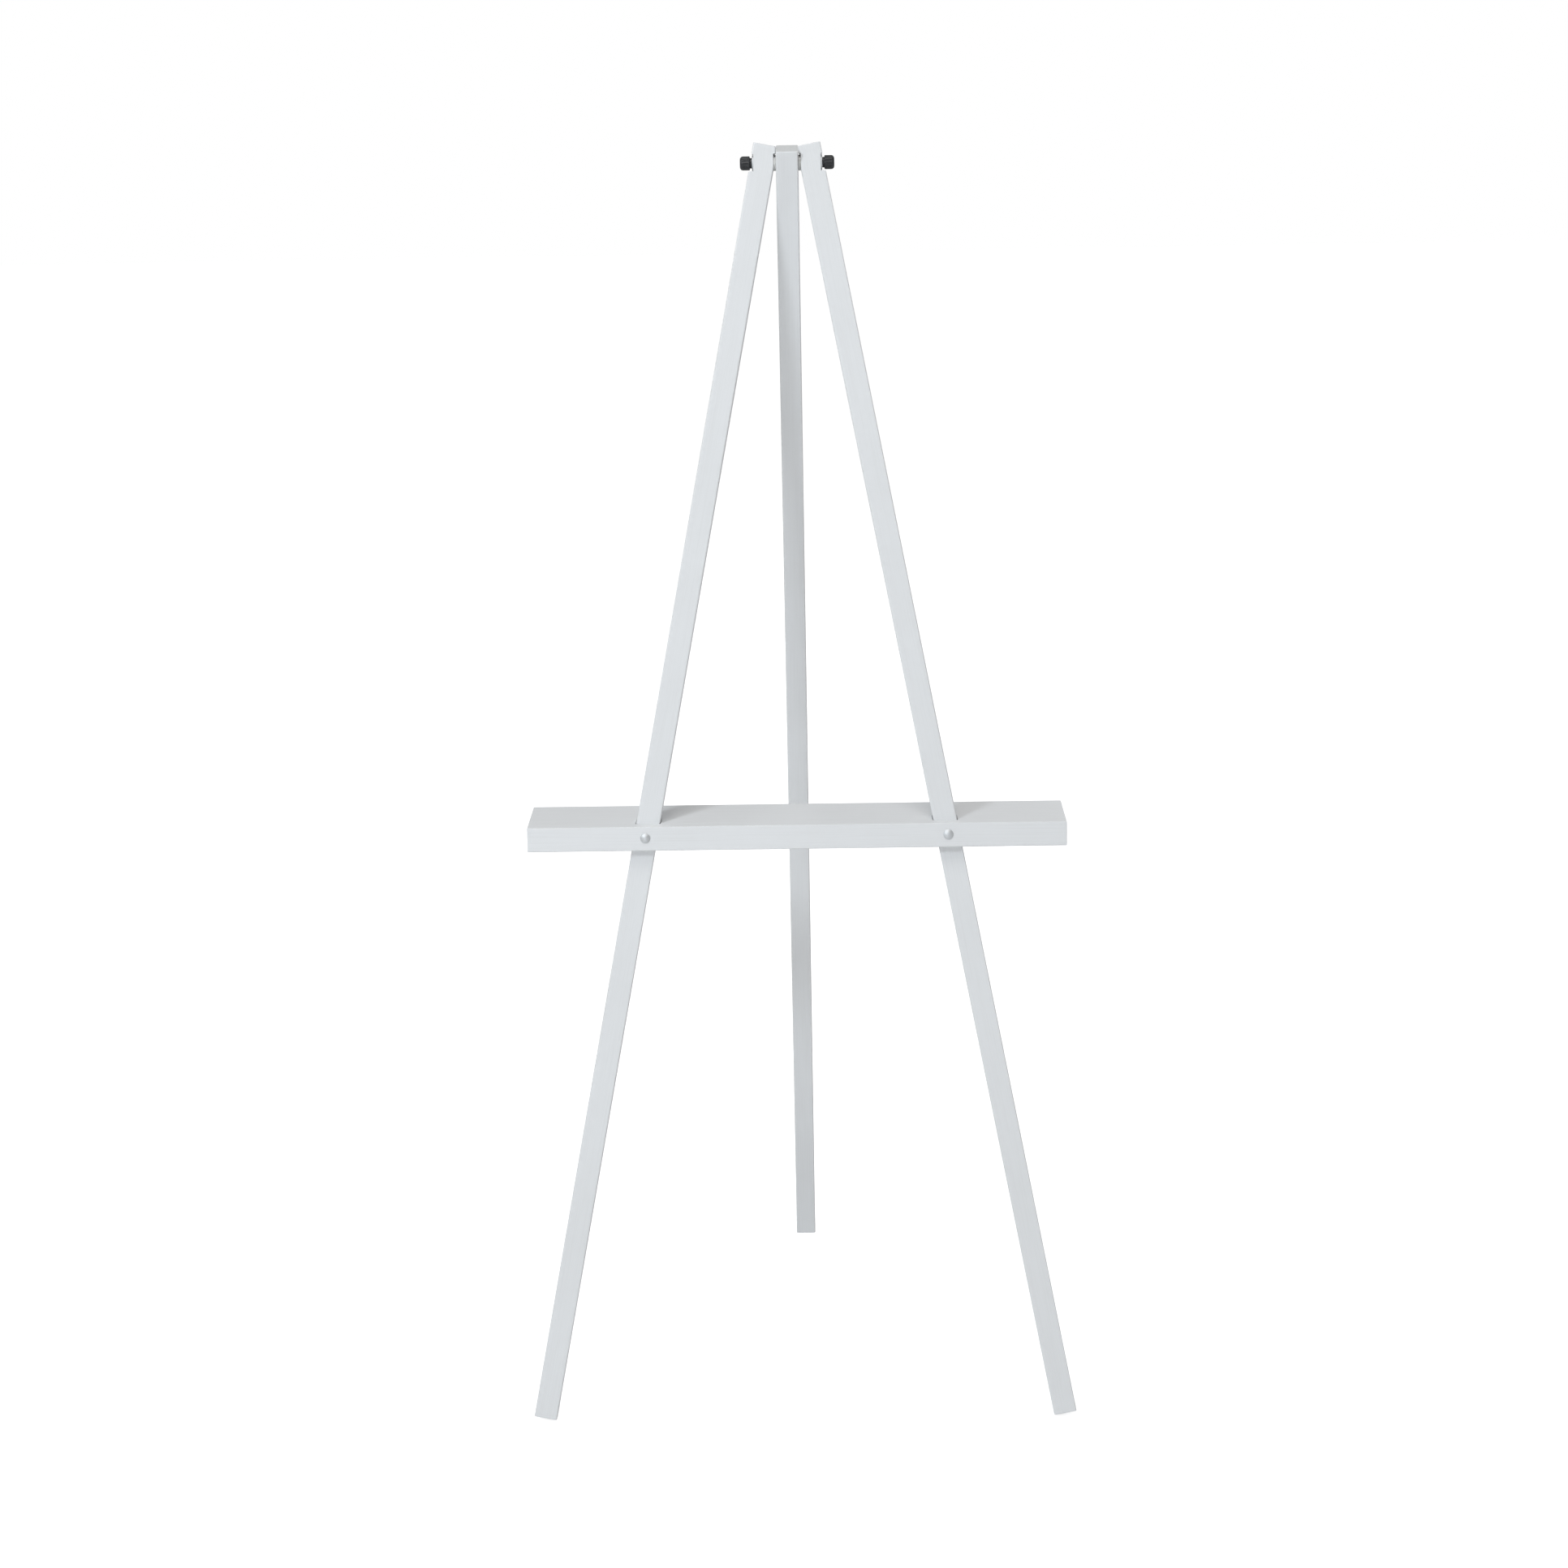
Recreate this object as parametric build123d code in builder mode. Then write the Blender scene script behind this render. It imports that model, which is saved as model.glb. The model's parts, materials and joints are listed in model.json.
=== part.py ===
from build123d import *
from math import atan2, cos, degrees, hypot, radians, sin, tan
import os

os.makedirs("parts", exist_ok=True)

# Tripod field easel, millimetres. +Z is up and the front faces -Y.
# The origin is on the floor, under the middle of the three-footed stand.

# Driving dimensions
stand_height = 1524.0  # floor to the top corners of the front legs
leg_face = 28.0  # width of a front leg, across the front
front_leg_thickness = 20.0
rear_leg_face = 26.0
rear_leg_depth = 28.0
leg_edge_radius = 1.6  # eased long edges of the leg stock
end_chamfer = 0.8  # broken edges of the sawn ends
foot_spacing = 640.0  # between the centres of the two front feet
lean = 8.5  # degrees that the front legs lean back
splay = 10.9  # degrees that each front leg turns out, in the leaning plane
rear_angle = 12.0  # degrees between the rear leg and the vertical
pivot_drop = 21.0  # pivot below the middle of the front legs' top ends, along the leg
rear_leg_over = 17.0  # rear leg above the pivot

stud_diameter = 6.0
running_gap = 0.1  # radial, for the parts that swing on the stud
rub_gap = 0.1  # between flat faces that turn on each other
cheek_gap = 0.2  # between the rear leg and the bevelled cheek of each front leg
spacer_thickness = 3.0
spacer_diameter = 18.0
washer_thickness = 1.6
washer_diameter = 18.0
washer_seat_x = 39.2  # flat seat for the outer washer, from the middle plane
seat_diameter = 28.0  # of the cutter, so that both seats run right across the leg

knob_diameter = 16.0
knob_length = 14.0
knob_collar_diameter = 12.0
knob_collar_length = 2.5
knob_rim_radius = 3.5
knob_flutes = 12
flute_radius = 1.3
insert_diameter = 8.6
insert_length = 11.0
thread_gap = 0.05  # radial, between a threaded insert and its screw

tray_top = 736.0  # floor to the level top of the tray
tray_length = 644.0
tray_depth = 90.0  # rail and shelf together
rail_thickness = 12.0
rail_height = 29.0
rail_edge_radius = 1.2
shelf_thickness = 9.0
shelf_edge_radius = 1.5
notch_gap = 0.8  # around each leg, where it passes through the shelf

tray_bolt_diameter = 5.0
tray_bolt_head_diameter = 12.0
tray_bolt_head_height = 3.0
tray_bolt_rim = 0.6
tray_bolt_hole_gap = 0.25
tray_washer_diameter = 14.0
tray_washer_thickness = 1.2

dowel_diameter = 5.0
dowel_into_rail = 8.0
dowel_into_shelf = 18.0
dowel_glue_gap = 0.05  # radial
dowel_end_gap = 0.5
dowel_places = [-295.0, -235.0, -130.0, -45.0, 45.0, 130.0, 235.0, 295.0]

# Directions of the leaning plane that the two front legs lie in
across = Vector(1, 0, 0)
up_plane = Vector(0, sin(radians(lean)), cos(radians(lean)))
forward = Vector(0, -cos(radians(lean)), sin(radians(lean)))

# Front legs: both sawn ends are square to the leg
foot_centre_height = (
    leg_face / 2 * sin(radians(splay)) * cos(radians(lean))
    + front_leg_thickness / 2 * sin(radians(lean))
)
leg_rise = cos(radians(splay)) * cos(radians(lean))
front_leg_length = (stand_height - 2 * foot_centre_height) / leg_rise
pivot_along_leg = front_leg_length - pivot_drop
pivot_height = foot_centre_height + pivot_along_leg * leg_rise

# Rear leg: its front bottom edge is on the floor
rear_foot_height = rear_leg_depth / 2 * sin(radians(rear_angle))
rear_leg_below = (pivot_height - rear_foot_height) / cos(radians(rear_angle))

# Front to back, the stand is centred over the origin
feet_to_pivot = pivot_along_leg * cos(radians(splay)) * sin(radians(lean))
pivot_to_rear_foot = rear_leg_below * sin(radians(rear_angle))
front_foot_half = (
    front_leg_thickness / 2 * cos(radians(lean)) + leg_face / 2 * sin(radians(splay)) * sin(radians(lean))
)
rear_foot_half = rear_leg_depth / 2 * cos(radians(rear_angle))
stand_depth = front_foot_half + feet_to_pivot + pivot_to_rear_foot + rear_foot_half
front_foot_y = front_foot_half - stand_depth / 2
pivot_y = front_foot_y + feet_to_pivot
pivot = Vector(0, pivot_y, pivot_height)

# The front face of the front legs is the plane that the rail is bolted to
foot_centre = Vector(0, front_foot_y, foot_centre_height)
face_point = foot_centre + forward * (front_leg_thickness / 2)

# The tray bolts cross the middle of the rail and the middle of each leg
rail_middle = tray_top - rail_height / 2
bolt_up = (rail_middle - face_point.Z - rail_thickness / 2 * forward.Z) / up_plane.Z
bolt_x = foot_spacing / 2 - bolt_up * tan(radians(splay))
tray_bolt_hole = tray_bolt_diameter + 2 * tray_bolt_hole_gap


def face_y(height, proud=0.0):
    """Y of a plane parallel to the legs' front face, at a height above the floor."""
    point = face_point + forward * proud
    return point.Y + (height - point.Z) * tan(radians(lean))


def leg_plane(side):
    """Plane at a front foot's centre, with its Z up the leg; side is -1 left or 1 right."""
    along = up_plane * cos(radians(splay)) - across * side * sin(radians(splay))
    sideways = across * cos(radians(splay)) + up_plane * side * sin(radians(splay))
    return Plane(origin=foot_centre + across * side * foot_spacing / 2, x_dir=sideways, z_dir=along)


def bolt_plane(side, proud=0.0):
    """Plane square to a tray bolt, facing forward, in front of the leg's face by a distance."""
    centre = face_point + up_plane * bolt_up + across * side * bolt_x + forward * proud
    return Plane(origin=centre, x_dir=(1, 0, 0), z_dir=forward)


def profile_plane(place):
    """Plane through a part's axis: X is the radius and Y is along the axis."""
    return Plane(origin=place.origin, x_dir=place.x_dir, z_dir=-place.y_dir)


def cross_plane(x):
    """Plane square to the stud, facing +X, at a distance from the middle plane."""
    return Plane(origin=(x, pivot.Y, pivot.Z), x_dir=(0, 1, 0), z_dir=(1, 0, 0))


def outward_plane(side, x):
    """Plane square to the stud that faces away from the middle."""
    return Plane(origin=(side * x, pivot.Y, pivot.Z), x_dir=(0, 1, 0), z_dir=(side, 0, 0))


def write(piece, label):
    piece.part.label = label
    export_step(piece.part, f"parts/{label}.step")


def ring(place, outer_diameter, hole_diameter, thickness):
    """A flat washer, spacer or plain bush, standing on its plane."""
    with BuildPart() as body:
        with BuildSketch(place):
            Circle(outer_diameter / 2)
            Circle(hole_diameter / 2, mode=Mode.SUBTRACT)
        extrude(amount=thickness)
    return body


def knob(place, bore_diameter):
    """A round fluted knob with a collar and a blind bore, standing on its plane."""
    radius = knob_diameter / 2
    with BuildPart() as body:
        with BuildSketch(profile_plane(place)):
            with BuildLine():
                Polyline(
                    (0, 0),
                    (knob_collar_diameter / 2, 0),
                    (knob_collar_diameter / 2, knob_collar_length),
                    (radius - 0.8, knob_collar_length),
                    (radius, knob_collar_length + 0.8),
                    (radius, knob_length - knob_rim_radius),
                )
                RadiusArc(
                    (radius, knob_length - knob_rim_radius),
                    (radius - knob_rim_radius, knob_length),
                    -knob_rim_radius,
                )
                Polyline((radius - knob_rim_radius, knob_length), (0, knob_length), (0, 0))
            make_face()
        revolve(axis=Axis(place.origin, place.z_dir))
        with BuildSketch(place.offset(knob_collar_length)):
            with PolarLocations(radius + flute_radius * 0.45, knob_flutes):
                Circle(flute_radius)
        extrude(amount=knob_length, mode=Mode.SUBTRACT)
        with BuildSketch(place):
            Circle(bore_diameter / 2)
        extrude(amount=insert_length, mode=Mode.SUBTRACT)
    return body


# ---- Legs ----

bevel_x = rear_leg_face / 2 + cheek_gap
spacer_x = rear_leg_face / 2 + rub_gap
spacer_seat_x = spacer_x + spacer_thickness
stud_hole = stud_diameter + 2 * running_gap
reach = 60.0  # longer than any cut across a leg

for side, name in ((-1, "left"), (1, "right")):
    foot = leg_plane(side)
    with BuildPart() as front_leg:
        with BuildSketch(foot):
            RectangleRounded(leg_face, front_leg_thickness, leg_edge_radius)
        extrude(amount=front_leg_length)
        sawn_ends = front_leg.faces().filter_by(foot)
        chamfer(sawn_ends.edges(), end_chamfer)
        # The inner cheek of the head is bevelled upright, just clear of the rear leg
        with BuildSketch(outward_plane(side, bevel_x)):
            Rectangle(2 * reach, 2 * reach)
        extrude(amount=-reach, mode=Mode.SUBTRACT)
        # Flat seats for the spacer, on the inner cheek, and for the outer washer
        with BuildSketch(outward_plane(side, spacer_seat_x)):
            Circle(seat_diameter / 2)
        extrude(amount=-reach, mode=Mode.SUBTRACT)
        with BuildSketch(outward_plane(side, washer_seat_x)):
            Circle(seat_diameter / 2)
        extrude(amount=reach, mode=Mode.SUBTRACT)
        with BuildSketch(outward_plane(side, 0)):
            Circle(stud_hole / 2)
        extrude(amount=reach, mode=Mode.SUBTRACT)
        # The hole for the tray bolt is square to the leaning face
        with BuildSketch(bolt_plane(side)):
            Circle(tray_bolt_hole / 2)
        extrude(amount=-reach, mode=Mode.SUBTRACT)
    write(front_leg, f"front_leg_{name}")

rear_up = Vector(0, -sin(radians(rear_angle)), cos(radians(rear_angle)))
rear_foot = Plane(origin=pivot - rear_up * rear_leg_below, x_dir=(1, 0, 0), z_dir=rear_up)
with BuildPart() as rear_leg:
    with BuildSketch(rear_foot):
        RectangleRounded(rear_leg_face, rear_leg_depth, leg_edge_radius)
    extrude(amount=rear_leg_below + rear_leg_over)
    sawn_ends = rear_leg.faces().filter_by(rear_foot)
    chamfer(sawn_ends.edges(), end_chamfer)
    with BuildSketch(cross_plane(0)):
        Circle(stud_hole / 2)
    extrude(amount=reach, both=True, mode=Mode.SUBTRACT)
write(rear_leg, "rear_leg")

# ---- Head: stud, knobs, washers and spacers ----

knob_x = washer_seat_x + washer_thickness + rub_gap
stud_half = knob_x + insert_length - 1.0
with BuildPart() as pivot_stud:
    with BuildSketch(cross_plane(-knob_x - insert_length)):
        Circle(stud_diameter / 2)
    extrude(amount=knob_x + insert_length + stud_half)
    chamfer(pivot_stud.faces().sort_by(Axis.X)[-1].edges(), 0.7)
write(pivot_stud, "pivot_stud")

write(knob(outward_plane(-1, knob_x), stud_diameter), "pivot_knob_left")
write(knob(outward_plane(1, knob_x), insert_diameter), "pivot_knob_right")
stud_thread_bore = stud_diameter + 2 * thread_gap
right_insert = ring(outward_plane(1, knob_x), insert_diameter, stud_thread_bore, insert_length)
write(right_insert, "pivot_knob_insert")

for side, name in ((-1, "left"), (1, "right")):
    spacer = ring(outward_plane(side, spacer_x), spacer_diameter, stud_hole, spacer_thickness)
    write(spacer, f"spacer_washer_{name}")
    washer = ring(outward_plane(side, washer_seat_x), washer_diameter, stud_hole, washer_thickness)
    write(washer, f"outer_washer_{name}")

# ---- Tray: rail, shelf and the dowels that join them ----

rail_bottom = tray_top - rail_height
dowel_height = tray_top - shelf_thickness / 2
dowel_front = face_y(dowel_height) - dowel_into_rail
dowel_length = dowel_into_rail + dowel_into_shelf
shelf_back = face_y(tray_top, rail_thickness) + tray_depth
side_plane = Plane(origin=(-tray_length / 2, 0, 0), x_dir=(0, 1, 0), z_dir=(1, 0, 0))
dowel_row = [(place, dowel_height) for place in dowel_places]
dowel_hole = dowel_diameter / 2 + dowel_glue_gap


def facing_back(y):
    """Upright plane facing +Y, with local X along +X and local Y down."""
    return Plane(origin=(0, y, 0), x_dir=(1, 0, 0), z_dir=(0, 1, 0))


def dowel_rods(radius, end_gap):
    """The row of dowels, or of holes for them, on the rail's joint with the shelf."""
    with BuildPart() as rods:
        with BuildSketch(facing_back(dowel_front - end_gap)):
            with Locations(*[(x, -z) for x, z in dowel_row]):
                Circle(radius)
        extrude(amount=dowel_length + 2 * end_gap)
    return rods


dowel_holes = dowel_rods(dowel_hole, dowel_end_gap)

with BuildPart() as tray_rail:
    with BuildSketch(side_plane):
        with BuildLine():
            Polyline(
                (face_y(tray_top, rail_thickness), tray_top),
                (face_y(tray_top), tray_top),
                (face_y(rail_bottom), rail_bottom),
                (face_y(rail_bottom, rail_thickness), rail_bottom),
                close=True,
            )
        make_face()
    extrude(amount=tray_length)
    long_edges = tray_rail.edges().filter_by(Axis.X)
    fillet(long_edges.sort_by(Axis((0, 0, 0), forward))[-2:], rail_edge_radius)
    for side in (-1, 1):
        with BuildSketch(bolt_plane(side)):
            Circle(tray_bolt_hole / 2)
        extrude(amount=reach, mode=Mode.SUBTRACT)
    add(dowel_holes.part, mode=Mode.SUBTRACT)
write(tray_rail, "tray_rail")

with BuildPart() as tray_shelf:
    with BuildSketch(side_plane):
        with BuildLine():
            Polyline(
                (face_y(tray_top), tray_top),
                (shelf_back, tray_top),
                (shelf_back, tray_top - shelf_thickness),
                (face_y(tray_top - shelf_thickness), tray_top - shelf_thickness),
                close=True,
            )
        make_face()
    extrude(amount=tray_length)
    back_edges = tray_shelf.edges().filter_by(Axis.X).sort_by(Axis.Y)[-2:]
    fillet(back_edges, shelf_edge_radius)
    for side in (-1, 1):
        with BuildSketch(leg_plane(side)):
            Rectangle(leg_face + 2 * notch_gap, front_leg_thickness + 2 * notch_gap)
        extrude(amount=front_leg_length, mode=Mode.SUBTRACT)
    add(dowel_holes.part, mode=Mode.SUBTRACT)
write(tray_shelf, "tray_shelf")

write(dowel_rods(dowel_diameter / 2, 0.0), "tray_dowels")

# ---- Tray bolts, washers and knobs ----

dome_rise = tray_bolt_head_height - tray_bolt_rim
head_radius = tray_bolt_head_diameter / 2
dome_radius = (head_radius**2 + dome_rise**2) / (2 * dome_rise)
thread_reach = tray_washer_thickness + rub_gap + insert_length - 1.0

for side, name in ((-1, "left"), (1, "right")):
    head = bolt_plane(side, rail_thickness)
    leg_back = bolt_plane(side, -front_leg_thickness)
    washer_place = Plane(origin=leg_back.origin, x_dir=(1, 0, 0), z_dir=-forward)
    knob_place = washer_place.offset(tray_washer_thickness + rub_gap)
    with BuildPart() as tray_bolt:
        with BuildSketch(profile_plane(head)):
            with BuildLine():
                Polyline((0, tray_bolt_head_height), (0, 0), (head_radius, 0), (head_radius, tray_bolt_rim))
                RadiusArc((head_radius, tray_bolt_rim), (0, tray_bolt_head_height), -dome_radius)
            make_face()
        revolve(axis=Axis(head.origin, head.z_dir))
        with BuildSketch(head):
            Circle(tray_bolt_diameter / 2)
        extrude(amount=-(rail_thickness + front_leg_thickness + thread_reach))
    write(tray_bolt, f"tray_bolt_{name}")
    tray_washer = ring(washer_place, tray_washer_diameter, tray_bolt_hole, tray_washer_thickness)
    write(tray_washer, f"tray_washer_{name}")
    write(knob(knob_place, insert_diameter), f"tray_knob_{name}")
    bolt_bore = tray_bolt_diameter + 2 * thread_gap
    tray_insert = ring(knob_place, insert_diameter, bolt_bore, insert_length)
    write(tray_insert, f"tray_knob_insert_{name}")

# The rear leg folds in until its front face meets the shelf's back edge
stop_y = shelf_back - pivot.Y
stop_z = pivot.Z - tray_top
fold_limit = rear_angle - degrees(atan2(stop_y, stop_z)) - degrees(rear_leg_depth / 2 / hypot(stop_y, stop_z))
bolt_at = bolt_plane(1).origin
print(f"pivot y {pivot.Y:.4f} z {pivot.Z:.4f}")
print(f"tray bolts cross the legs' face at x {bolt_at.X:.4f} y {bolt_at.Y:.4f} z {bolt_at.Z:.4f}")
print(f"rear leg folds in {fold_limit:.2f} degrees before it meets the shelf")
print(f"leg face at the tray top y {face_y(tray_top):.2f}, shelf back y {shelf_back:.2f}")
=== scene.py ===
import json
import math

import bpy
import numpy as np
from mathutils import Euler, Matrix, Vector


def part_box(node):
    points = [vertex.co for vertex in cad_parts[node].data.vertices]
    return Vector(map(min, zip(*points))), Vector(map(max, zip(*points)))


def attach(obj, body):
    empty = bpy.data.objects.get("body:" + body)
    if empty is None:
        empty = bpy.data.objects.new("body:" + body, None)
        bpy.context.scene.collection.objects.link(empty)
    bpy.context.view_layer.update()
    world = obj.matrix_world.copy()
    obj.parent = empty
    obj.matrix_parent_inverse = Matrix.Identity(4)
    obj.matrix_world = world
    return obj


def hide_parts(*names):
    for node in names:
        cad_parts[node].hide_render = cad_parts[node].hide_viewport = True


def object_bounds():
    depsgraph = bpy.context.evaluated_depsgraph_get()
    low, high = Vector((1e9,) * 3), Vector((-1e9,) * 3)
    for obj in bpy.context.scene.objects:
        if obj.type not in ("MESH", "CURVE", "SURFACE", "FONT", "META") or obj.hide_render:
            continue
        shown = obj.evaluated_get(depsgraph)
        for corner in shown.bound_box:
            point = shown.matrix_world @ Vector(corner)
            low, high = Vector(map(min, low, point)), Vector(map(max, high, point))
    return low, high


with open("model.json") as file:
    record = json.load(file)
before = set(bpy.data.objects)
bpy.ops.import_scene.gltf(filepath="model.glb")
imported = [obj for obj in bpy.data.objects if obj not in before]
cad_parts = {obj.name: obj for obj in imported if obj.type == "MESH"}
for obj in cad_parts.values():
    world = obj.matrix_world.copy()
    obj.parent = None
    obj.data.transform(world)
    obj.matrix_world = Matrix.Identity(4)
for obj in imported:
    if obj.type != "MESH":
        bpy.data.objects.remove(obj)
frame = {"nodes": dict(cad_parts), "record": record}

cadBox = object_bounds()
mm = 0.001

# The joints' own axes place everything at the head and on the tray
joints = {joint["name"]: joint for joint in frame["record"]["behaviour"]["joints"]}
pivot = np.array(joints["rear_leg_fold"]["pos_m"])
trayAxis = {"left": joints["left_tray_knob_turn"], "right": joints["right_tray_knob_turn"]}

across = np.array([1.0, 0.0, 0.0])
sides = (("left", -1.0), ("right", 1.0))
print("frame loaded, pivot at", pivot.round(4))


def unit(v):
    v = np.asarray(v, float)
    return v / np.linalg.norm(v, axis=-1, keepdims=True)


def roundedPath(corners, radii, steps=5, support=0.0, closed=True):
    # Each corner c between unit directions a and b becomes an arc: its centre is c + r/sin(half) along
    # the bisector, and a point is the slerp of the two radii from that centre. A support point stands
    # on the flat at each side. Returns the points and how far each is round its corner, 0 to 1 to 0.
    c = np.asarray(corners, float)
    r = np.broadcast_to(np.asarray(radii, float), c.shape[:-1])[..., None]
    a = unit(np.roll(c, 1, -2) - c + 1e-12)
    b = unit(np.roll(c, -1, -2) - c + 1e-12)
    half = np.arccos(np.clip((a * b).sum(-1, keepdims=True), -1, 1)) / 2
    reach = r / np.tan(half)
    middle = c + unit(a + b + 1e-12) * r / np.sin(half)
    start = c + a * reach - middle
    end = c + b * reach - middle
    turn = math.pi - 2 * half
    rows = [c + a * (reach + support)] if support else []
    weight = [0.0] if support else []
    for s in np.linspace(0, 1, steps + 1):
        rows.append(middle + (np.sin((1 - s) * turn) * start + np.sin(s * turn) * end) / np.sin(turn))
        weight.append(math.sin(math.pi * s))
    if support:
        rows.append(c + b * (reach + support))
        weight.append(0.0)
    points = np.stack(rows, -2)
    weights = np.tile(weight, c.shape[-2])
    if not closed:  # an open path keeps its two end points as they are
        inner = points[..., 1:-1, :, :].reshape(*c.shape[:-2], -1, 2)
        points = np.concatenate([c[..., :1, :], inner, c[..., -1:, :]], -2)
        return points, np.concatenate([[0.0], np.tile(weight, c.shape[-2] - 2), [0.0]])
    return points.reshape(*c.shape[:-2], -1, 2), weights


def gridMesh(name, rings, around, along, marks=None, looped=False):
    # rings[k, i] is a grid that closes on itself in i. It closes in k too when looped is true;
    # otherwise a pole at the middle of the first and of the last ring shuts each end with a fan.
    # around and along are the lengths that the texture runs by, in metres.
    n, m = rings.shape[:2]
    k = np.arange(n if looped else n - 1)[:, None]
    i = np.arange(m)[None, :]
    k2, i2 = (k + 1) % n, (i + 1) % m
    quads = np.stack(np.broadcast_arrays(k * m + i, k * m + i2, k2 * m + i2, k2 * m + i), -1).reshape(-1, 4)
    points = rings.reshape(-1, 3)
    aroundNext = around[1:]
    alongNext = np.append(along[1:], along[-1])[: len(k)]
    u = np.stack(np.broadcast_arrays(around[:-1], aroundNext, aroundNext, around[:-1]), -1)[None]
    v = np.stack([along[: len(k)], along[: len(k)], alongNext, alongNext], -1)[:, None]
    uv = np.stack(np.broadcast_arrays(u, v), -1).reshape(-1, 2)
    faces = quads.tolist()
    if not looped:
        first, last = n * m, n * m + 1
        points = np.vstack([points, rings[0].mean(0), rings[-1].mean(0)])
        i, i2 = i[0], i2[0]
        startFan = np.stack([np.full(m, first), i2, i], -1)
        endFan = np.stack([np.full(m, last), (n - 1) * m + i, (n - 1) * m + i2], -1)
        faces += startFan.tolist() + endFan.tolist()
        mid = (around[:-1] + aroundNext) / 2
        fanStart = np.stack([mid, aroundNext, around[:-1]], -1)
        fanEnd = np.stack([mid, around[:-1], aroundNext], -1)
        fans = np.concatenate([fanStart.ravel(), fanEnd.ravel()])
        ends = np.concatenate([np.full(3 * m, along[0]), np.full(3 * m, along[n - 1])])
        uv = np.vstack([uv, np.stack([fans, ends], -1)])
    mesh = bpy.data.meshes.new(name)
    mesh.from_pydata(points.tolist(), [], faces)
    mesh.uv_layers.new(name="UVMap").data.foreach_set("uv", uv.astype(np.float32).ravel())
    for label, values in (marks or {}).items():
        values = np.broadcast_to(values, (n, m)).ravel()
        if not looped:
            values = np.append(values, [values[0], values[-1]])
        mark = mesh.attributes.new(label, "FLOAT", "POINT")
        mark.data.foreach_set("value", values.astype(np.float32))
    mesh.update()
    return mesh


def addPiece(name, mesh, body, node, material, sharpDegrees=38):
    mesh.shade_smooth()
    mesh.set_sharp_from_angle(angle=math.radians(sharpDegrees))
    piece = bpy.data.objects.new(name, mesh)
    bpy.context.collection.objects.link(piece)
    mesh.materials.append(material)
    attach(piece, body)
    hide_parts(node)


def cutAway(mesh, cutters):
    # Takes each cutter's solid out of the mesh and returns the mesh that is left.
    whole = bpy.data.objects.new("whole", mesh)
    bpy.context.collection.objects.link(whole)
    tools = []
    for cutter in cutters:
        tool = bpy.data.objects.new("tool", cutter)
        bpy.context.collection.objects.link(tool)
        cut = whole.modifiers.new("cut", "BOOLEAN")
        cut.operation, cut.solver, cut.object = "DIFFERENCE", "EXACT", tool
        tools.append(tool)
    left = bpy.data.meshes.new_from_object(whole.evaluated_get(bpy.context.evaluated_depsgraph_get()))
    for spare in [whole, *tools]:
        bpy.data.objects.remove(spare)
    return left


def alongPath(profile):
    # Lengths along an open path, from 0 to the whole.
    return np.append(0, np.cumsum(np.linalg.norm(np.diff(profile, axis=0), axis=1)))


def girthOf(outline):
    # Lengths round a closed outline, from 0 to the whole.
    return np.append(0, np.cumsum(np.linalg.norm(np.roll(outline, -1, 0) - outline, axis=1)))


def turnedMesh(name, profile, origin, axis, segments, girth, radiusAt=None, marks=None, looped=False):
    # A lathe surface: the profile's radius and height, carried round the axis. radiusAt(r, h, angle)
    # may change the radius, for flutes, a square neck or a thread. A looped profile is a closed one.
    z = unit(axis)
    x = unit(np.cross(z, [0.3, 0.9, 0.2]))  # any direction that isn't along the axis
    y = np.cross(z, x)
    angle = np.arange(segments) * 2 * math.pi / segments
    r, h = profile[:, 0][:, None], profile[:, 1][:, None]
    radius = radiusAt(r, h, angle[None, :]) if radiusAt else r + 0 * angle
    ring = np.cos(angle)[:, None] * x + np.sin(angle)[:, None] * y
    rings = np.asarray(origin) + h[..., None] * z + radius[..., None] * ring
    along = alongPath(np.vstack([profile, profile[:1]]) if looped else profile)
    return gridMesh(name, rings, np.linspace(0, girth, segments + 1), along, marks, looped)


def newMaterial(name):
    material = bpy.data.materials.new(name)
    material.use_nodes = True
    tree = material.node_tree
    shader = tree.nodes["Principled BSDF"]

    def node(kind, **settings):
        made = tree.nodes.new("ShaderNode" + kind)
        for key, value in settings.items():
            if key in made.inputs.keys():
                made.inputs[key].default_value = value
            else:
                setattr(made, key, value)
        return made

    def join(output, target):
        tree.links.new(output, target)

    return material, shader, node, join


def mixColours(node, join, amount, first, second):
    # A mix of two colours, each a value or another node's output.
    mix = node("Mix", data_type="RGBA")
    for key, value in (("Factor", amount), ("A", first), ("B", second)):
        if isinstance(value, bpy.types.NodeSocket):
            join(value, mix.inputs[key])
        else:
            mix.inputs[key].default_value = value
    return mix.outputs["Result"]


def noiseAt(node, join, vector, scale, detail, roughness=0.5, distortion=0.0):
    noise = node("TexNoise", Scale=scale, Detail=detail, Roughness=roughness, Distortion=distortion)
    join(vector, noise.inputs["Vector"])
    return noise.outputs["Fac"]


def stretched(node, join, vector, scale):
    mapping = node("Mapping", Scale=scale)
    join(vector, mapping.inputs["Vector"])
    return mapping.outputs["Vector"]


def remap(node, join, value, low, high, toLow, toHigh):
    # Spreads the range from low to high over the range from toLow to toHigh.
    spread = node("MapRange", **{"From Min": low, "From Max": high, "To Min": toLow, "To Max": toHigh})
    join(value, spread.inputs["Value"])
    return spread.outputs["Result"]


def combine(node, join, operation, first, second):
    result = node("Math", operation=operation, use_clamp=True)
    join(first, result.inputs[0])
    join(second, result.inputs[1])
    return result.outputs[0]


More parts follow.
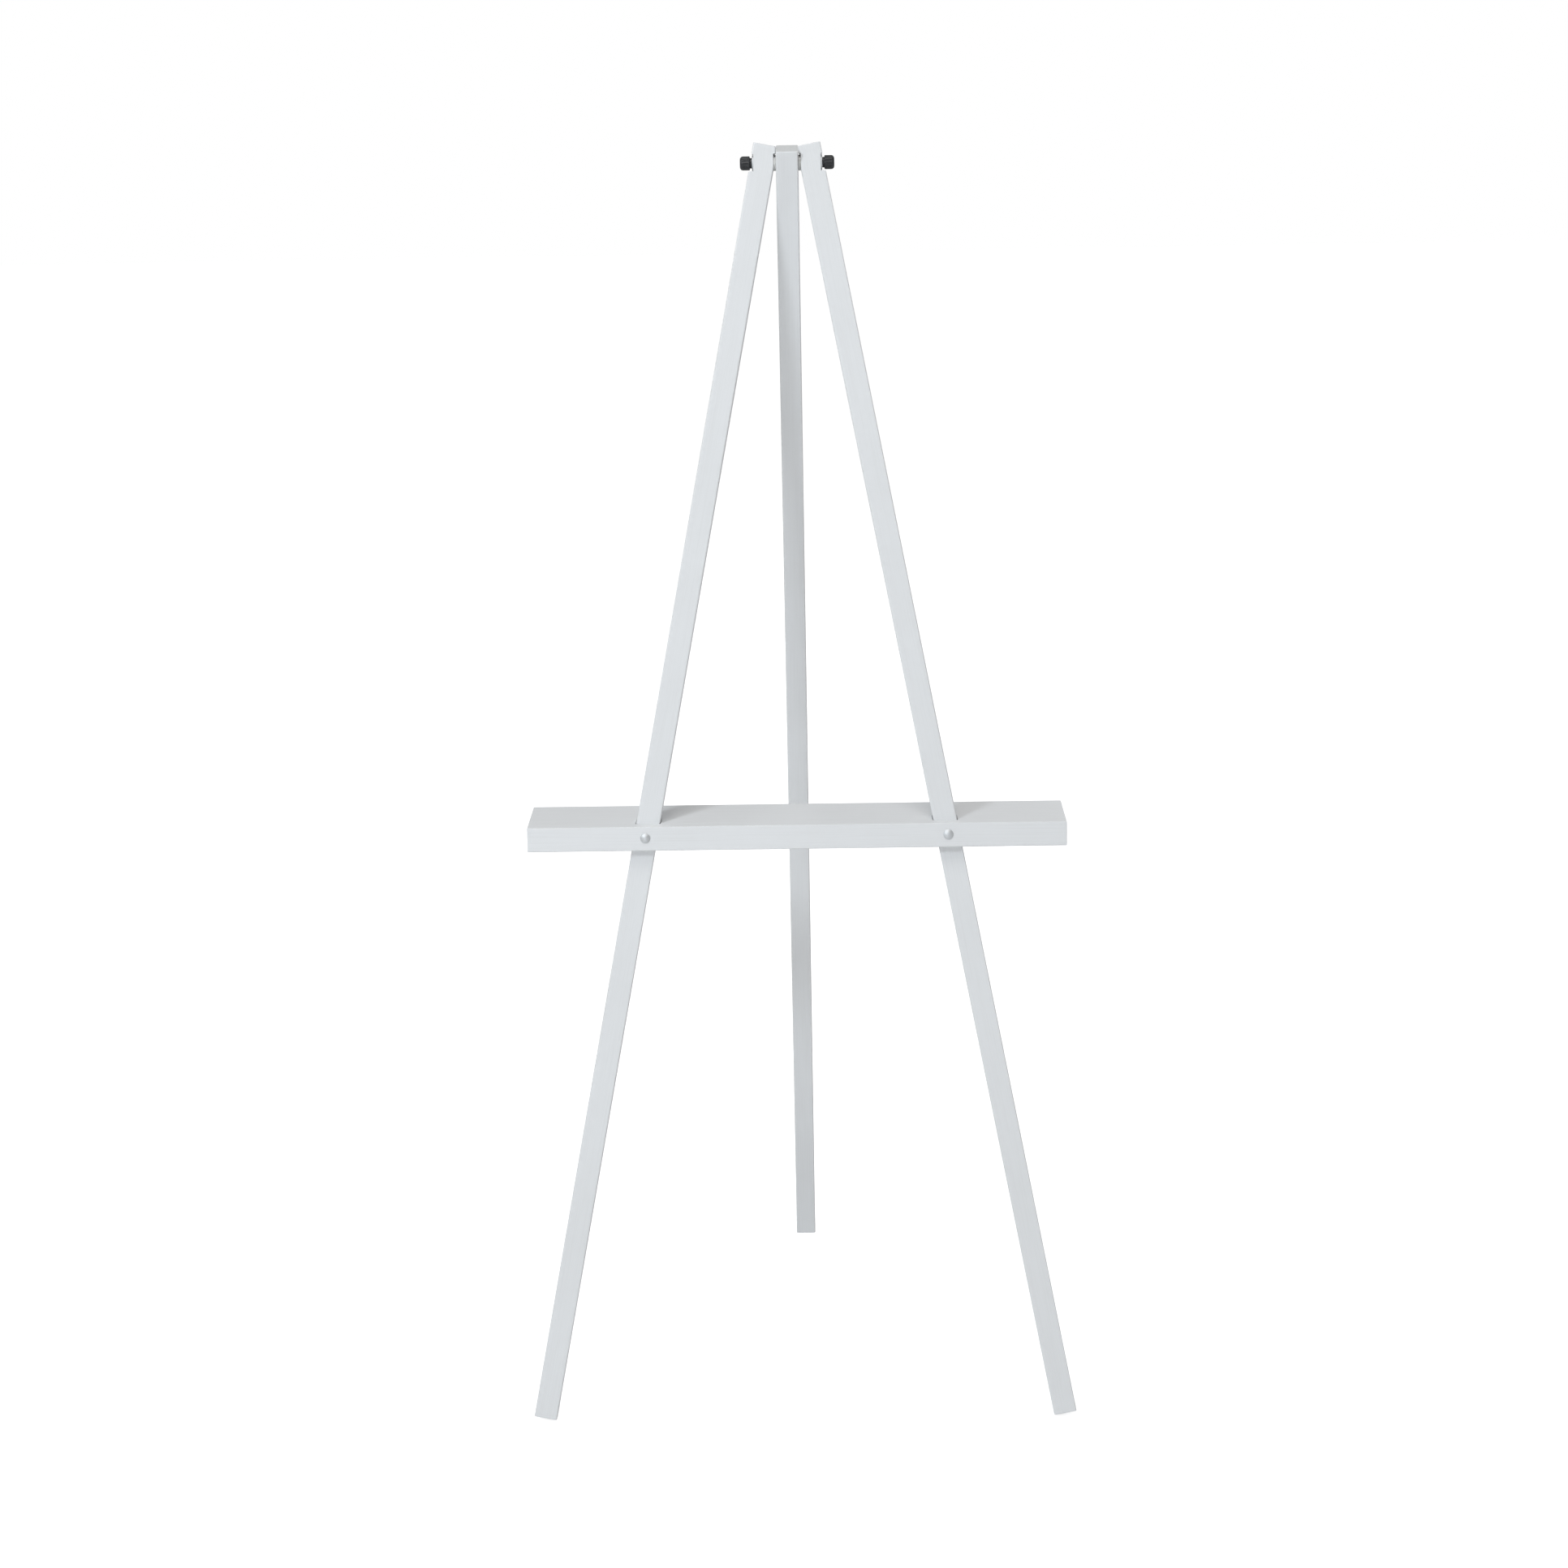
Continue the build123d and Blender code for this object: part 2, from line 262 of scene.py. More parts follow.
def relief(node, join, height, strength, distance, normal=None):
    # A bump, on top of an earlier one where there is one.
    bump = node("Bump", Strength=strength, Distance=distance)
    join(height, bump.inputs["Height"])
    if normal:
        join(normal, bump.inputs["Normal"])
    return bump.outputs["Normal"]


paint = dict(
    fresh=(0.790, 0.803, 0.815, 1),  # cool satin white
    old=(0.745, 0.755, 0.763, 1),  # where the film is thin or a little dirty
    edge=(0.690, 0.685, 0.665, 1),  # the undercoat that the worn edges let through
    endGrain=(0.620, 0.630, 0.630, 1),  # sawn ends drink the paint and stay duller
    endDullness=0.25,  # added to the roughness on the sawn ends
    specular=0.45,
    # Repeats of each noise to the metre, around the piece and along it
    grainStretch=(620.0, 9.0, 1.0),
    brushStretch=(1500.0, 14.0, 1.0),
    # Scale, detail, roughness and distortion of each noise
    grain=(1.0, 4.0, 0.55, 0.6),
    brush=(1.0, 2.0, 0.55, 0.2),
    cloud=(7.0, 3.0),
    roller=(420.0, 2.0, 0.6),
    rings=(260.0, 5.0, 0.7, 1.2),
    # The part of a noise that counts, low and high, and what it becomes
    grainAgeing=(0.46, 0.74, 0.0, 0.55),
    cloudAgeing=(0.40, 0.70, 0.0, 0.45),
    rub=(0.42, 0.66, 0.0, 0.85),
    soak=(0.35, 0.65, 0.55, 1.0),
    sheen=(0.3, 0.75, 0.36, 0.52),
    # Strength and height of each relief
    grainRelief=(0.22, 0.12 * mm),
    brushRelief=(0.14, 0.05 * mm),
    rollerRelief=(0.10, 0.06 * mm),
    endRelief=(0.5, 0.25 * mm),
)


def paintedTimber():
    material, shader, node, join = newMaterial("paintedTimber")
    uv = node("UVMap", uv_map="UVMap").outputs["UV"]
    worn = node("Attribute", attribute_name="worn").outputs["Fac"]
    sawn = node("Attribute", attribute_name="sawn").outputs["Fac"]
    place = node("TexCoord").outputs["Object"]

    # Noise stretched along the piece reads as grain and as brush marks
    grain = noiseAt(node, join, stretched(node, join, uv, paint["grainStretch"]), *paint["grain"])
    brush = noiseAt(node, join, stretched(node, join, uv, paint["brushStretch"]), *paint["brush"])
    cloud = noiseAt(node, join, place, *paint["cloud"])
    roller = noiseAt(node, join, place, *paint["roller"])
    rings = noiseAt(node, join, place, *paint["rings"])

    # Colour: fresh paint, older in clouds and along the grain, thinner on the edges, dull on the ends
    alongGrain = remap(node, join, grain, *paint["grainAgeing"])
    inClouds = remap(node, join, cloud, *paint["cloudAgeing"])
    ageing = combine(node, join, "ADD", alongGrain, inClouds)
    colour = mixColours(node, join, ageing, paint["fresh"], paint["old"])
    rub = combine(node, join, "MULTIPLY", worn, remap(node, join, rings, *paint["rub"]))
    colour = mixColours(node, join, rub, colour, paint["edge"])
    soak = combine(node, join, "MULTIPLY", sawn, remap(node, join, rings, *paint["soak"]))
    colour = mixColours(node, join, soak, colour, paint["endGrain"])
    join(colour, shader.inputs["Base Color"])

    # Satin sheen that is a little duller along the brush marks and on the sawn ends
    duller = node("Math", operation="MULTIPLY_ADD", use_clamp=True)
    join(sawn, duller.inputs[0])
    duller.inputs[1].default_value = paint["endDullness"]
    join(remap(node, join, brush, *paint["sheen"]), duller.inputs[2])
    join(duller.outputs[0], shader.inputs["Roughness"])

    # Relief: open grain under the paint, brush marks, a fine roller skin, and the rough sawn ends
    normal = relief(node, join, grain, *paint["grainRelief"])
    normal = relief(node, join, brush, *paint["brushRelief"], normal)
    normal = relief(node, join, roller, *paint["rollerRelief"], normal)
    roughEnds = combine(node, join, "MULTIPLY", rings, sawn)
    join(relief(node, join, roughEnds, *paint["endRelief"], normal), shader.inputs["Normal"])
    shader.inputs["Specular IOR Level"].default_value = paint["specular"]
    return material


sheenNoise = (0.3, 0.7)  # the part of a noise that sets the sheen of plastic and metal
plastic = dict(
    grain=(2600.0, 2.0, 0.6),
    dust=(240.0, 4.0, 0.65),
    dustAgeing=(0.48, 0.78, 0.0, 0.6),
    glossier=0.08,  # taken off the roughness where it is clean
    duller=0.1,  # added to it where it is dusty
    relief=(0.25, 0.04 * mm),
)


def mouldedPlastic(name, colour, dusty, roughness):
    # Spark-eroded plastic: a fine grain, paler where hands and dust have been.
    material, shader, node, join = newMaterial(name)
    place = node("TexCoord").outputs["Object"]
    grain = noiseAt(node, join, place, *plastic["grain"])
    dust = noiseAt(node, join, place, *plastic["dust"])
    level = remap(node, join, dust, *plastic["dustAgeing"])
    join(mixColours(node, join, level, colour, dusty), shader.inputs["Base Color"])
    low, high = roughness - plastic["glossier"], roughness + plastic["duller"]
    join(remap(node, join, dust, *sheenNoise, low, high), shader.inputs["Roughness"])
    join(relief(node, join, grain, *plastic["relief"]), shader.inputs["Normal"])
    return material


plating = dict(
    stretch=(6.0, 900.0, 1.0),
    marks=(1.0, 3.0, 0.6),
    cloud=(330.0, 4.0, 0.6, 0.4),
    stain=(0.42, 0.72, 0.0, 0.7),
    glossier=0.08,
    duller=0.12,
    relief=(0.2, 0.03 * mm),
)


def platedMetal(name, colour, stained, roughness):
    # Plated or turned metal: marks that run round the part, and a clouded, slightly stained plating.
    material, shader, node, join = newMaterial(name)
    uv = node("UVMap", uv_map="UVMap").outputs["UV"]
    place = node("TexCoord").outputs["Object"]
    marks = noiseAt(node, join, stretched(node, join, uv, plating["stretch"]), *plating["marks"])
    cloud = noiseAt(node, join, place, *plating["cloud"])
    level = remap(node, join, cloud, *plating["stain"])
    join(mixColours(node, join, level, colour, stained), shader.inputs["Base Color"])
    low, high = roughness - plating["glossier"], roughness + plating["duller"]
    join(remap(node, join, marks, *sheenNoise, low, high), shader.inputs["Roughness"])
    join(relief(node, join, marks, *plating["relief"]), shader.inputs["Normal"])
    shader.inputs["Metallic"].default_value = 1.0
    return material


beech = dict(
    pale=(0.62, 0.43, 0.26, 1),
    fleck=(0.42, 0.26, 0.14, 1),
    stretch=(900.0, 60.0, 900.0),
    fibre=(1.0, 4.0, 0.6, 0.3),
    relief=(0.3, 0.1 * mm),
    roughness=0.62,
)


def bareBeech():
    # Bare dowel wood: long pale fibres with short darker flecks.
    material, shader, node, join = newMaterial("bareBeech")
    place = node("TexCoord").outputs["Object"]
    fibre = noiseAt(node, join, stretched(node, join, place, beech["stretch"]), *beech["fibre"])
    colour = mixColours(node, join, fibre, beech["pale"], beech["fleck"])
    join(colour, shader.inputs["Base Color"])
    join(relief(node, join, fibre, *beech["relief"]), shader.inputs["Normal"])
    shader.inputs["Roughness"].default_value = beech["roughness"]
    return material


timberPaint = paintedTimber()
knobPlastic = mouldedPlastic("knobPlastic", (0.020, 0.021, 0.024, 1), (0.055, 0.057, 0.062, 1), 0.42)
spacerNylon = mouldedPlastic("spacerNylon", (0.66, 0.66, 0.64, 1), (0.56, 0.56, 0.54, 1), 0.40)
zincPlate = platedMetal("zincPlate", (0.74, 0.76, 0.78, 1), (0.64, 0.65, 0.64, 1), 0.56)
turnedBrass = platedMetal("turnedBrass", (0.78, 0.60, 0.28, 1), (0.58, 0.42, 0.18, 1), 0.32)
dowelBeech = bareBeech()
print("materials made")


stock = dict(
    face=28 * mm,
    frontThick=20 * mm,
    rearFace=2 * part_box("rear_leg")[1].x,
    rearThick=28 * mm,
    edge=1.6 * mm,  # eased long edges
    edgeSway=0.35 * mm,  # how much hand sanding varies them
    leastEdge=0.4,  # of their radius
    swayRates=(5.3, 13.7, 31.0),  # in radians to the metre
    swayShares=(1.0, 0.6, 0.3),
    wearRate=9.1,  # how quickly the wear on the edges comes and goes, in radians to the metre
    wearSwing=0.4,  # how much of the wear does
    grainShift=(0.37, 0.61),  # metres to a seed, round the piece and along it
    endChamfer=0.8 * mm,
    endCurve=(0.0, 0.08, 0.29, 0.62, 1.0),  # the chamfer's quarter round, in even turns
    endRings=(0.35, 0.7),  # rings of the end face inside its outline
    stationSpacing=12 * mm,
    flatSupport=0.8 * mm,  # how far past a rounded edge the flat face has its first point
    lean=math.radians(8.5),
    splay=math.radians(10.9),
    rearAngle=math.radians(12.0),
    pivotDrop=21 * mm,
    rearOver=17 * mm,
    bevelAt=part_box("front_leg_right")[0].x,  # inner cheeks of the head, from the middle plane
    innerSeat=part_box("spacer_washer_right")[1].x,  # flat seats of the spacers
    outerSeat=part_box("outer_washer_right")[0].x,  # and of the outer washers
    seatRadius=14 * mm,
    studHole=3.1 * mm,  # radius
    boltHole=2.75 * mm,
)
# Each piece of timber has a seed of its own, for its edges, its wear and its grain
seeds = dict(left=3, right=4, rear=5, rail=6, shelf=7)
# How a cut surface is marked: not worn, and in part like a sawn end
drilledWood = {"worn": 0.0, "sawn": 0.35}
notchedWood = {"worn": 0.0, "sawn": 0.5}
roundSegments = 96  # round a drilled hole, a washer or a spacer
headCentre = np.array([0.0, pivot[1], pivot[2]])
clear = 30 * mm  # enough to carry a cutter past the wood
upPlane = np.array([0.0, math.sin(stock["lean"]), math.cos(stock["lean"])])
forward = np.array([0.0, -math.cos(stock["lean"]), math.sin(stock["lean"])])
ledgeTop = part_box("tray_rail")[1].z


def stations(length):
    # Places along a piece of timber, how far each ring is drawn in, and its share of the section: the
    # end face, a quarter-round chamfer, and then even steps.
    chamfer = stock["endChamfer"]
    curve, flat = np.array(stock["endCurve"]), np.array(stock["endRings"])
    draw = np.concatenate([flat * 0 + 1, curve[::-1]]) * chamfer
    depth = np.concatenate([flat * 0, curve]) * chamfer
    share = np.concatenate([flat, curve * 0 + 1])
    clearOfEnds = 2.5 * chamfer
    count = int(length / stock["stationSpacing"])
    middle = np.linspace(clearOfEnds, length - clearOfEnds, count)
    t = np.concatenate([depth, middle, length - depth[::-1]])
    inset = np.concatenate([draw, middle * 0, draw[::-1]])
    scale = np.concatenate([share, middle * 0 + 1, share[::-1]])
    sawn = np.zeros(len(t))
    sawn[: len(flat) + 1] = 1.0
    sawn[-len(flat) - 1 :] = 1.0
    return t, inset, scale, sawn


def timber(origin, xAxis, yAxis, length, corners, radius, seed):
    # A sawn and planed member: the corners of its section at each station, rounded and carried along.
    # corners(t) gives (stations, 4, 2). Its long edges vary by slow sines, as hand sanding leaves them.
    t, inset, scale, sawn = stations(length)
    section = corners(t)
    centre = section.mean(1, keepdims=True)
    size = (section.max(1) - section.min(1))[:, None] / 2
    drawn = (section - centre) * ((size - inset[:, None, None]) / size)
    rates = np.array(stock["swayRates"])[:, None, None]
    shares = np.array(stock["swayShares"])[:, None, None]
    phase = np.random.default_rng(seed).uniform(0, 2 * math.pi, (3, 4))[:, None, :]
    sway = (shares * np.sin(rates * t[None, :, None] + phase)).sum(0) / shares.sum()
    soft = np.maximum(radius + sway * stock["edgeSway"], stock["leastEdge"] * radius)
    outline, worn = roundedPath(drawn, soft, steps=5, support=stock["flatSupport"])
    outline = centre + outline * scale[:, None, None]
    alongAxis = t[:, None, None] * np.cross(xAxis, yAxis)
    rings = origin + alongAxis + outline[..., :1] * xAxis + outline[..., 1:] * yAxis
    swing = stock["wearSwing"]
    patchy = 1 - swing + swing * np.sin(stock["wearRate"] * t + seed)
    marks = {"worn": worn[None, :] * patchy[:, None], "sawn": sawn[:, None]}
    # The seed also shifts the texture, so that no two pieces share their grain
    around = girthOf(outline[len(t) // 2]) + seed * stock["grainShift"][0]
    return gridMesh("timber", rings, around, t + seed * stock["grainShift"][1], marks)


def rectangle(width, depth):
    return np.array([[-1, -1], [1, -1], [1, 1], [-1, 1]]) * [width / 2, depth / 2]


def roundCutter(origin, axis, *steps):
    # What a drill or a spot-facing cutter takes out: a turned solid with a radius and a reach along
    # the axis at each step.
    profile = np.array(steps)
    girth = 2 * math.pi * profile[:, 0].min()
    return turnedMesh("roundCutter", profile, origin, axis, roundSegments, girth, marks=drilledWood)


def legAxes(side):
    # A front leg's own directions: across its face, and up its length.
    tilt, lift = math.sin(stock["splay"]), math.cos(stock["splay"])
    return across * lift + upPlane * side * tilt, upPlane * lift - across * side * tilt


def frontLeg(name, side):
    sideways, rise = legAxes(side)
    backwards = -forward
    # The tray bolt crosses the leg's centre line, which places the leg from the frame
    onFace = np.array(trayAxis[name]["pos_m"])
    centre = onFace + backwards * stock["frontThick"] / 2
    top = (pivot[2] - centre[2]) / rise[2] + stock["pivotDrop"]
    # The square-sawn foot stands on its lowest corner
    bottom = centre[2] / rise[2] - abs(sideways[2]) / rise[2] * stock["face"] / 2
    bottom -= abs(backwards[2]) / rise[2] * stock["frontThick"] / 2
    footPoint = centre - rise * bottom

    def corners(t):
        # The inner cheek stops at the upright bevel of the head: the distance from the leg's centre
        # line is the gap in x, divided by the x share of the direction across the face.
        centreX = footPoint[0] + t * rise[0]
        inward = -side * (side * stock["bevelAt"] - centreX) / sideways[0]
        section = np.broadcast_to(rectangle(stock["face"], stock["frontThick"]), (len(t), 4, 2)).copy()
        inner = section[:, :, 0] * side < 0
        limit = -side * np.minimum(inward, stock["face"] / 2)[:, None]
        section[:, :, 0] = np.where(inner, limit, section[:, :, 0])
        return section

    mesh = timber(footPoint, sideways, backwards, top + bottom, corners, stock["edge"], seeds[name])
    wide, narrow, bolt = stock["seatRadius"], stock["studHole"], stock["boltHole"]
    headCutter = roundCutter(
        headCentre,
        across * side,
        (wide, stock["bevelAt"] - clear),
        (wide, stock["innerSeat"]),
        (narrow, stock["innerSeat"]),
        (narrow, stock["outerSeat"]),
        (wide, stock["outerSeat"]),
        (wide, stock["outerSeat"] + clear),
    )
    boltDrill = roundCutter(onFace, backwards, (bolt, -clear), (bolt, stock["frontThick"] + clear))
    mesh = cutAway(mesh, [headCutter, boltDrill])
    node = f"front_leg_{name}"
    addPiece(f"painted_{node}", mesh, "front_frame", node, timberPaint)


def rearLeg():
    up = np.array([0.0, -math.sin(stock["rearAngle"]), math.cos(stock["rearAngle"])])
    backwards = np.cross(up, across)
    below = (pivot[2] - stock["rearThick"] / 2 * math.sin(stock["rearAngle"])) / up[2]
    section = rectangle(stock["rearFace"], stock["rearThick"])
    mesh = timber(
        pivot - up * below,
        across,
        backwards,
        below + stock["rearOver"],
        lambda t: np.broadcast_to(section, (len(t), 4, 2)),
        stock["edge"],
        seeds["rear"],
    )
    hole = stock["studHole"]
    mesh = cutAway(mesh, [roundCutter(headCentre, across, (hole, -clear), (hole, clear))])
    addPiece("painted_rear_leg", mesh, "rear_leg_swing", "rear_leg", timberPaint)


for name, side in sides:
    frontLeg(name, side)
rearLeg()
print("legs made")


tray = dict(
    railThick=12 * mm,
    railHeight=29 * mm,
    shelfThick=9 * mm,
    railEdge=1.3 * mm,
    railBackEdge=0.78 * mm,  # the lower one; the upper one is glued to the shelf
    shelfEdge=1.5 * mm,
    notchGap=0.8 * mm,
    notchCorner=1.0 * mm,
    notchReach=(-50 * mm, 80 * mm),  # along the leg, from its bolt
    flush=0.35 * mm,  # the edges that meet at the glued joint stay nearly sharp
    dowelHole=2.55 * mm,  # radius
    dowelPlaces=(45 * mm, 130 * mm, 235 * mm, 295 * mm),  # from the middle, on both sides
    dowelEndGap=0.5 * mm,
)
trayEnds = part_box("tray_rail")[0].x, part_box("tray_rail")[1].x
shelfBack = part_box("tray_shelf")[1].y
facePoint = np.array(trayAxis["left"]["pos_m"])


def faceY(z, proud=0.0):
    # y of a plane in front of the legs' leaning face, at a height.
    point = facePoint + forward * proud
    return point[1] + (z - point[2]) * math.tan(stock["lean"])


def boardAlongX(corners, radii, seed):
    # A board that runs from end to end of the tray; its section is given in y and z.
    section = np.array(corners)
    middle = section.mean(0)
    local = section - middle
    return timber(
        np.array([trayEnds[0], middle[0], middle[1]]),
        np.array([0.0, 1.0, 0.0]),
        np.array([0.0, 0.0, 1.0]),
        trayEnds[1] - trayEnds[0],
        lambda t: np.broadcast_to(local, (len(t), 4, 2)),
        radii,
        seed,
    )


def dowelCutters():
    # One drill for each dowel, through the joint between the rail and the shelf.
    low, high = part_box("tray_dowels")
    front = np.array([0.0, low.y, (low.z + high.z) / 2])
    length = high.y - low.y
    back = np.array([0.0, 1.0, 0.0])
    hole, gap = tray["dowelHole"], tray["dowelEndGap"]
    return [
        roundCutter(front + across * side * place, back, (hole, -gap), (hole, length + gap))
        for _, side in sides
        for place in tray["dowelPlaces"]
    ]


def railAndShelf():
    bottom = ledgeTop - tray["railHeight"]
    railCorners = [
        (faceY(bottom, tray["railThick"]), bottom),
        (faceY(bottom), bottom),
        (faceY(ledgeTop), ledgeTop),
        (faceY(ledgeTop, tray["railThick"]), ledgeTop),
    ]
    edge, flush, hole = tray["railEdge"], tray["flush"], stock["boltHole"]
    railEdges = np.array([edge, tray["railBackEdge"], flush, edge])
    rail = boardAlongX(railCorners, railEdges, seeds["rail"])
    boltDrills = [
        roundCutter(trayAxis[name]["pos_m"], forward, (hole, -clear), (hole, clear))
        for name, _ in sides
    ]
    rail = cutAway(rail, boltDrills + dowelCutters())
    addPiece("painted_tray_rail", rail, "front_frame", "tray_rail", timberPaint)

    under = ledgeTop - tray["shelfThick"]
    shelfCorners = [
        (faceY(under), under),
        (shelfBack, under),
        (shelfBack, ledgeTop),
        (faceY(ledgeTop), ledgeTop),
    ]
    edge = tray["shelfEdge"]
    shelf = boardAlongX(shelfCorners, np.array([flush, edge, edge, flush]), seeds["shelf"])
    shelf = cutAway(shelf, [notchCutter(name, side) for name, side in sides] + dowelCutters())
    addPiece("painted_tray_shelf", shelf, "front_frame", "tray_shelf", timberPaint)


def notchCutter(name, side):
    # A prism along the leg, a little larger than it, that cuts the notch in the shelf.
    sideways, rise = legAxes(side)
    centre = np.array(trayAxis[name]["pos_m"]) - forward * stock["frontThick"] / 2
    gap = 2 * tray["notchGap"]
    outline = rectangle(stock["face"] + gap, stock["frontThick"] + gap)
    outline, _ = roundedPath(outline[None], tray["notchCorner"], steps=4)
    along = np.array(tray["notchReach"])
    section = centre + outline[..., :1] * sideways - outline[..., 1:] * forward
    rings = section + along[:, None, None] * rise
    return gridMesh("notchCutter", rings, girthOf(outline[0]), along, notchedWood)


railAndShelf()
print("tray made")


knob = dict(
    radius=8 * mm,
    length=14 * mm,
    collarRadius=6 * mm,
    collarLength=2.5 * mm,
    rim=3.5 * mm,
    flutes=12,
    fluteDepth=0.85 * mm,
    fluteFoot=0.5 * mm,  # where the flutes start above the collar
    fluteTop=1.2 * mm,  # and end below the top
    fluteRise=1.2 * mm,  # the height they take to reach their depth
    fluteFall=2.6 * mm,  # and to fade again at the top
    fadePower=0.7,
    hollowPower=2.2,  # above 1 the flutes are narrower than the ribs between them
    dimpleRadius=3.6 * mm,
    dimpleSlope=0.4 * mm,
    dimpleDepth=0.35 * mm,
    boreDepth=11 * mm,
    insertRadius=4.3 * mm,
    segments=144,
    wallRings=12,
)
girth = 50 * mm  # round the grip and round the washers, for the texture
poleRing = 0.05 * mm  # radius of the small ring that each pole closes
turnedSharp = 50  # degrees


def knobSurface(r, h, angle):
    # Flutes: the radius drops by the flute's depth where cos(flutes x angle) peaks, fading out
    # towards the collar and over the rounded top.
    k = knob
    lower = np.clip((h - k["collarLength"] - k["fluteFoot"]) / k["fluteRise"], 0, 1)
    upper = np.clip((k["length"] - k["fluteTop"] - h) / k["fluteFall"], 0, 1)
    outside = np.clip((r - k["collarRadius"]) / k["fluteRise"], 0, 1)
    fade = (lower * upper * outside) ** k["fadePower"]
    hollow = (0.5 + 0.5 * np.cos(k["flutes"] * angle)) ** k["hollowPower"]
    return r - k["fluteDepth"] * fade * hollow


def makeKnob(pieceName, node, body, base, axis, bore):
    # Radius, height and rounding of each corner: from the bottom of the blind bore, down its wall,
    # round the collar and the grip, and over the top to a shallow dimple.
    k = knob
    dimple = k["length"] - k["dimpleDepth"]
    corners = np.array([
        (poleRing, k["boreDepth"], 0.1 * mm),
        (bore, k["boreDepth"], 0.3 * mm),
        (bore, 0.0, 0.25 * mm),
        (k["collarRadius"], 0.0, 0.4 * mm),
        (k["collarRadius"], k["collarLength"], 0.45 * mm),
        (k["radius"], k["collarLength"], 0.8 * mm),
        (k["radius"], k["length"], k["rim"]),
        (k["dimpleRadius"], k["length"], 0.25 * mm),
        (k["dimpleRadius"] - k["dimpleSlope"], dimple, 0.2 * mm),
        (poleRing, dimple, 0.1 * mm),
    ])
    profile, _ = roundedPath(corners[:, :2], corners[:, 2], steps=7, support=0.12 * mm, closed=False)
    # More rings up the straight side of the grip, so that the flutes are smooth
    wall = np.flatnonzero(np.isclose(profile[:, 0], k["radius"], rtol=0, atol=0.001 * mm))
    low, high = profile[wall[0]], profile[wall[-1]]
    steps = np.linspace(0, 1, k["wallRings"])[1:-1, None]
    profile = np.insert(profile, wall[-1], low + steps * (high - low), 0)
    mesh = turnedMesh(pieceName, profile, base, axis, k["segments"], girth, knobSurface)
    addPiece(pieceName, mesh, body, node, knobPlastic, turnedSharp)


def ringPiece(pieceName, node, base, axis, inner, outer, thick, edge, material):
    # A washer or spacer: its rounded section carried round the axis.
    corners = np.array([(outer, 0.0), (outer, thick), (inner, thick), (inner, 0.0)])
    profile, _ = roundedPath(corners, edge, steps=4, support=0.1 * mm)
    mesh = turnedMesh(pieceName, profile, base, axis, roundSegments, girth, looped=True)
    addPiece(pieceName, mesh, "front_frame", node, material, turnedSharp)


thread = dict(
    depth=0.54,  # of the pitch
    slope=2.4,  # of the flanks, in depths to a pitch
    flat=0.1,  # taken off the wave, so that root and crest have narrow flats
    ringsPerTurn=9,
)


def threadedRadius(nominal, pitch, threads):
    # A screw thread: the crest's radius less a triangle wave of height over pitch minus turn, only
    # where the rod is threaded, and run out over one pitch.
    def radiusAt(r, h, angle):
        wave = (h / pitch - angle / (2 * math.pi)) % 1.0
        crest = np.clip(thread["slope"] * np.abs(wave - 0.5) - thread["flat"], 0, 1)
        threaded = np.zeros_like(h)
        for start, end in threads:
            inside = np.minimum(h - start, end - h)
            threaded = np.maximum(threaded, np.clip(inside / pitch + 1, 0, 1))
        cut = thread["depth"] * pitch * threaded * (1 - crest)
        onRod = r > 0.95 * nominal  # not on the rod's narrower tips
        return np.where(onRod, r - cut, r)

    return radiusAt


def rodProfile(radius, start, end, chamfer, threads, pitch):
    # A rod's profile: its tip, heights that are close together where there is thread, and its tail.
    low, high = start + chamfer, end - chamfer
    plain = np.linspace(low, high, 40)
    fine = [np.arange(a, b, pitch / thread["ringsPerTurn"]) for a, b in threads]
    h = np.unique(np.concatenate([plain, *fine]).clip(low, high).round(7))
    body = np.stack([np.full(len(h), radius), h], -1)
    tip = np.array([(poleRing, start), (radius - chamfer, start)])
    tail = np.array([(radius - chamfer, end), (poleRing, end)])
    return np.vstack([tip, body, tail])


head = dict(
    stud=3 * mm,
    pitch=1.0 * mm,
    knobAt=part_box("pivot_knob_right")[0].x,
    washerThick=1.6 * mm,
    washerRadius=9 * mm,
    washerEdge=0.35 * mm,
    spacerAt=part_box("spacer_washer_right")[0].x,
    spacerThick=3 * mm,
    spacerRadius=9 * mm,
    spacerEdge=0.5 * mm,
    chamfer=0.7 * mm,
    plainTip=1 * mm,  # the left end, ahead of its thread
    threadInside=3 * mm,  # how far the right thread runs in past its knob
    segments=48,
    girth=19 * mm,
)


